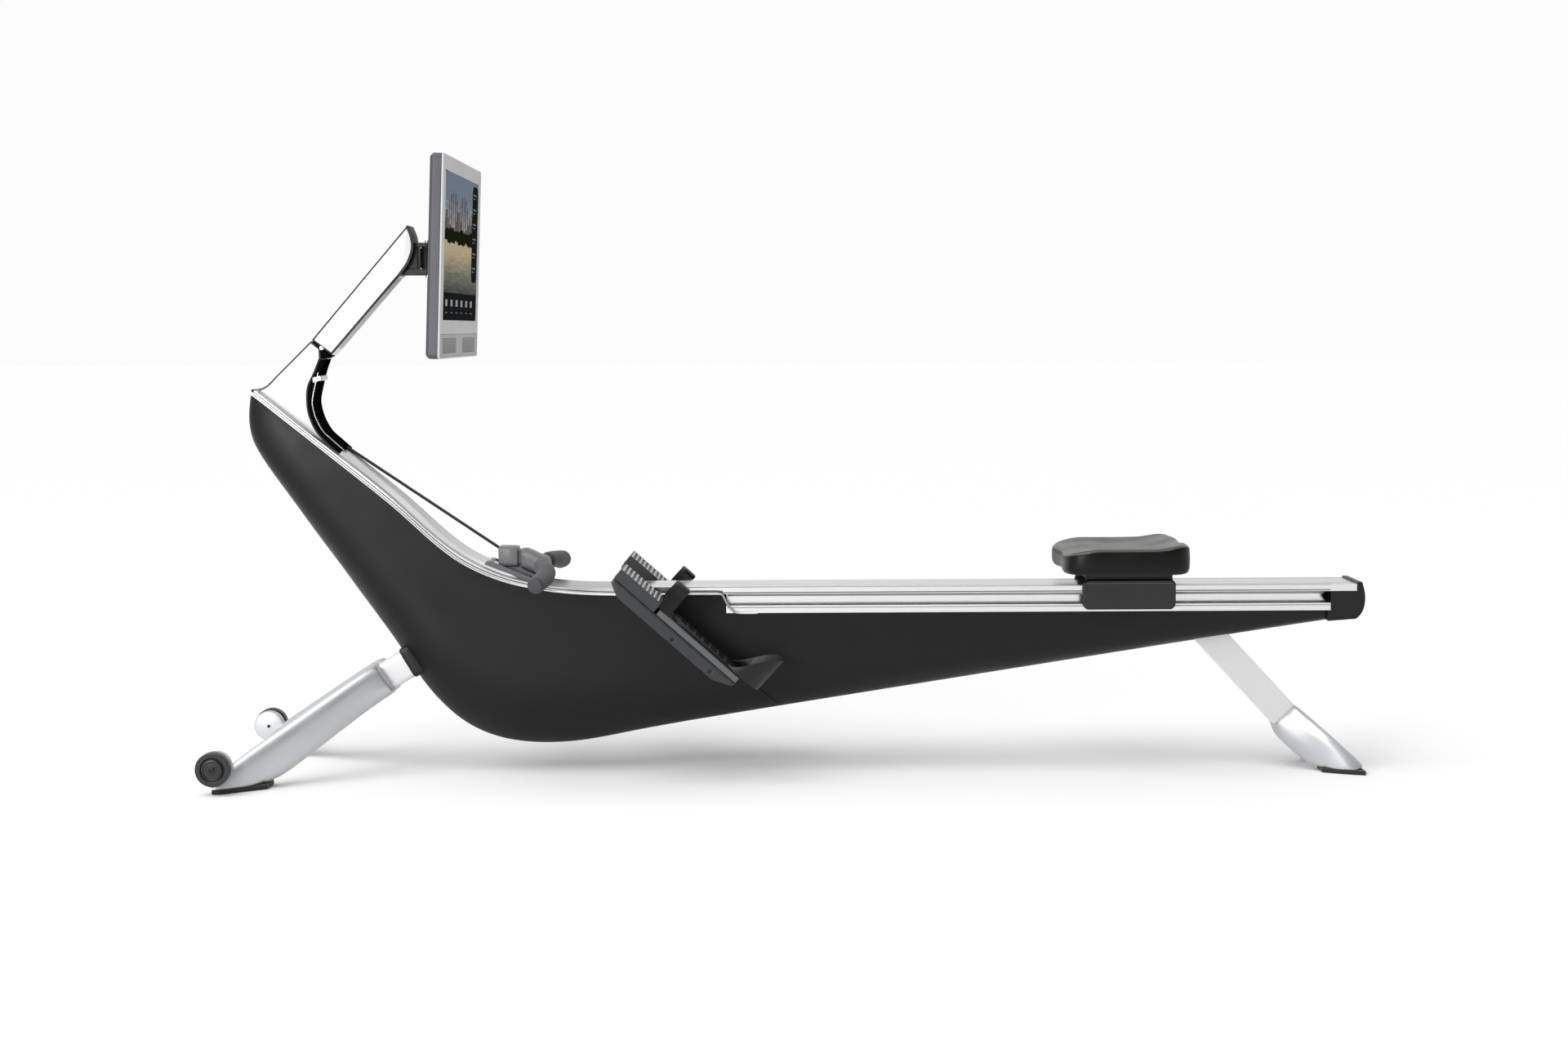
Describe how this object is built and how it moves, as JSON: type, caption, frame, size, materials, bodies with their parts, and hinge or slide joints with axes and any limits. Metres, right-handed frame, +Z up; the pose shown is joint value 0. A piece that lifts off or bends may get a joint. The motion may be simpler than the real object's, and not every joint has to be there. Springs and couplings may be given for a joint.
{
  "type": "rowing machine",
  "caption": "Home rowing machine with a boat-shaped drive hull, rolling seat on a rail, strap-pulled handle, footboards and a folding arm that carries a swivelling display.",
  "frame": {"origin": "on the floor under the middle of the machine", "axes": "+X towards the seat end, +Y to the left of someone facing the seat end, +Z up"},
  "size_m": [2.2043, 0.556, 1.1771],
  "materials": {
    "hull_black": "satin moulded shell",
    "silver_trim": "brushed and clear anodised",
    "silver_paint": "pale silver satin paint",
    "cast_silver": "silver satin paint on a casting",
    "black_plastic": "fine moulded texture",
    "steel": "zinc plated",
    "rubber_black": "matt",
    "wheel_black": "moulded nylon",
    "shoe_grey": "fine moulded texture",
    "guide_grey": "fine moulded texture",
    "rib_grey": "ribbed soft plastic",
    "webbing": "woven polyester webbing",
    "display_grey": "satin",
    "face_grey": "satin",
    "grille_dark": "perforated",
    "screen_glass": "glossy display glass",
    "seat_foam": "skinned moulded foam",
    "grip_charcoal": "soft-touch grip",
    "bar_steel": "powder coated"
  },
  "bodies": {
    "frame": {"hull_front": "hull_black", "hull_rear": "hull_black", "deck_trim": "silver_trim", "deck_spine": "silver_paint", "neck": "silver_paint", "neck_channel": "black_plastic", "inner_frame": "steel", "rail": "silver_trim", "end_cap": "hull_black", "front_post": "silver_paint", "rear_post": "silver_paint", "front_arch": "cast_silver", "rear_arch": "cast_silver", "soles": "rubber_black", "wheel_axles": "steel", "board_shells": "shoe_grey", "board_guides": "guide_grey", "toe_pads": "rib_grey", "foot_straps": "webbing", "strap_buckles": "black_plastic", "board_screws": "steel", "board_mounts": "black_plastic", "handle_cradle": "black_plastic", "magnet_brake": "black_plastic", "shafts": "steel", "hinge_pin": "steel", "inner_strap": "webbing", "drive_belt": "rubber_black"},
    "arm": {"arm_beam": "silver_paint", "arm_strip": "guide_grey", "arm_cap": "guide_grey", "swivel_base": "black_plastic", "swivel_pin": "steel"},
    "swivel": {"swivel_barrel": "black_plastic"},
    "display": {"tilt_pin": "steel", "display_mount": "black_plastic", "display_housing": "display_grey", "display_face": "face_grey", "screen": "screen_glass", "speaker_panel": "display_grey", "speaker_grilles": "grille_dark"},
    "seat": {"seat_pad": "seat_foam", "carriage_frame": "steel", "carriage_covers": "hull_black", "roller_axles": "steel"},
    "rollers_front": {"rollers_front": "rubber_black"},
    "rollers_rear": {"rollers_rear": "rubber_black"},
    "rollers_under": {"rollers_under": "rubber_black"},
    "handle": {"handle_bar": "bar_steel", "handle_grips": "grip_charcoal", "handle_yoke": "grip_charcoal", "pull_strap": "webbing"},
    "exit_roller": {"exit_roller": "rubber_black"},
    "strap_spool": {"strap_spool": "black_plastic"},
    "drive_pulley": {"drive_pulley": "wheel_black"},
    "flywheel": {"flywheel": "steel"},
    "wheel_left": {"wheel_left": "wheel_black"},
    "wheel_right": {"wheel_right": "wheel_black"},
    "heel_left": {"heel_slider_left": "shoe_grey"},
    "heel_right": {"heel_slider_right": "shoe_grey"}
  },
  "joints": [
    {"name": "arm_fold", "type": "hinge", "parent": "frame", "child": "arm", "pos_m": [-0.893, 0, 0.824], "axis": [0, 1, 0], "range_deg": [0, 50]},
    {"name": "display_swivel", "type": "hinge", "parent": "arm", "child": "swivel", "pos_m": [-0.692, 0, 0.993], "axis": [0, 0, 1], "range_deg": [-25, 25]},
    {"name": "display_tilt", "type": "hinge", "parent": "swivel", "child": "display", "pos_m": [-0.672, 0, 0.993], "axis": [0, 1, 0], "range_deg": [-10, 10]},
    {"name": "seat_slide", "type": "slide", "parent": "frame", "child": "seat", "axis": [1, 0, 0], "range_m": [-0.6, 0.32]},
    {"name": "rollers_front_spin", "type": "hinge", "parent": "seat", "child": "rollers_front", "pos_m": [0.595, 0, 0.3733], "axis": [0, 1, 0], "range_deg": [-3500, 1900]},
    {"name": "rollers_rear_spin", "type": "hinge", "parent": "seat", "child": "rollers_rear", "pos_m": [0.711, 0, 0.3733], "axis": [0, 1, 0], "range_deg": [-3500, 1900]},
    {"name": "rollers_under_spin", "type": "hinge", "parent": "seat", "child": "rollers_under", "pos_m": [0.653, 0, 0.3392], "axis": [0, 1, 0], "range_deg": [-2000, 3700]},
    {"name": "handle_pull", "type": "slide", "parent": "frame", "child": "handle", "axis": [0.8988, 0, 0.4384], "range_m": [0, 1], "stiffness_N_per_m": 15, "springref_m": -0.8, "deforming": ["pull_strap"]},
    {"name": "exit_roller_spin", "type": "hinge", "parent": "frame", "child": "exit_roller", "pos_m": [-0.868, 0, 0.626], "axis": [0, 1, 0], "range_deg": [0, 4300]},
    {"name": "spool_spin", "type": "hinge", "parent": "frame", "child": "strap_spool", "pos_m": [-0.385, 0, 0.215], "axis": [0, 1, 0], "range_deg": [-1650, 0]},
    {"name": "flywheel_spin", "type": "hinge", "parent": "frame", "child": "flywheel", "pos_m": [-0.575, 0, 0.2], "axis": [0, 1, 0], "continuous": true},
    {"name": "pulley_spin", "type": "hinge", "parent": "frame", "child": "drive_pulley", "pos_m": [-0.385, 0, 0.215], "axis": [0, 1, 0], "continuous": true},
    {"name": "wheel_left_spin", "type": "hinge", "parent": "frame", "child": "wheel_left", "pos_m": [-1.065, 0.266, 0.05], "axis": [0, 1, 0], "continuous": true},
    {"name": "wheel_right_spin", "type": "hinge", "parent": "frame", "child": "wheel_right", "pos_m": [-1.065, -0.266, 0.05], "axis": [0, 1, 0], "continuous": true},
    {"name": "heel_left_slide", "type": "slide", "parent": "frame", "child": "heel_left", "axis": [0.749, 0, -0.6626], "range_m": [-0.066, 0]},
    {"name": "heel_right_slide", "type": "slide", "parent": "frame", "child": "heel_right", "axis": [0.749, 0, -0.6626], "range_m": [-0.066, 0]}
  ],
  "couplings": [
    {"joint": "rollers_front_spin", "follows": "seat_slide", "rad_per_m": 100},
    {"joint": "rollers_rear_spin", "follows": "seat_slide", "rad_per_m": 100},
    {"joint": "rollers_under_spin", "follows": "seat_slide", "rad_per_m": -105.26},
    {"joint": "exit_roller_spin", "follows": "handle_pull", "rad_per_m": 74.07},
    {"joint": "spool_spin", "follows": "handle_pull", "rad_per_m": -27.78},
    {"joint": "pulley_spin", "follows": "flywheel_spin", "ratio": 0.2647}
  ]
}
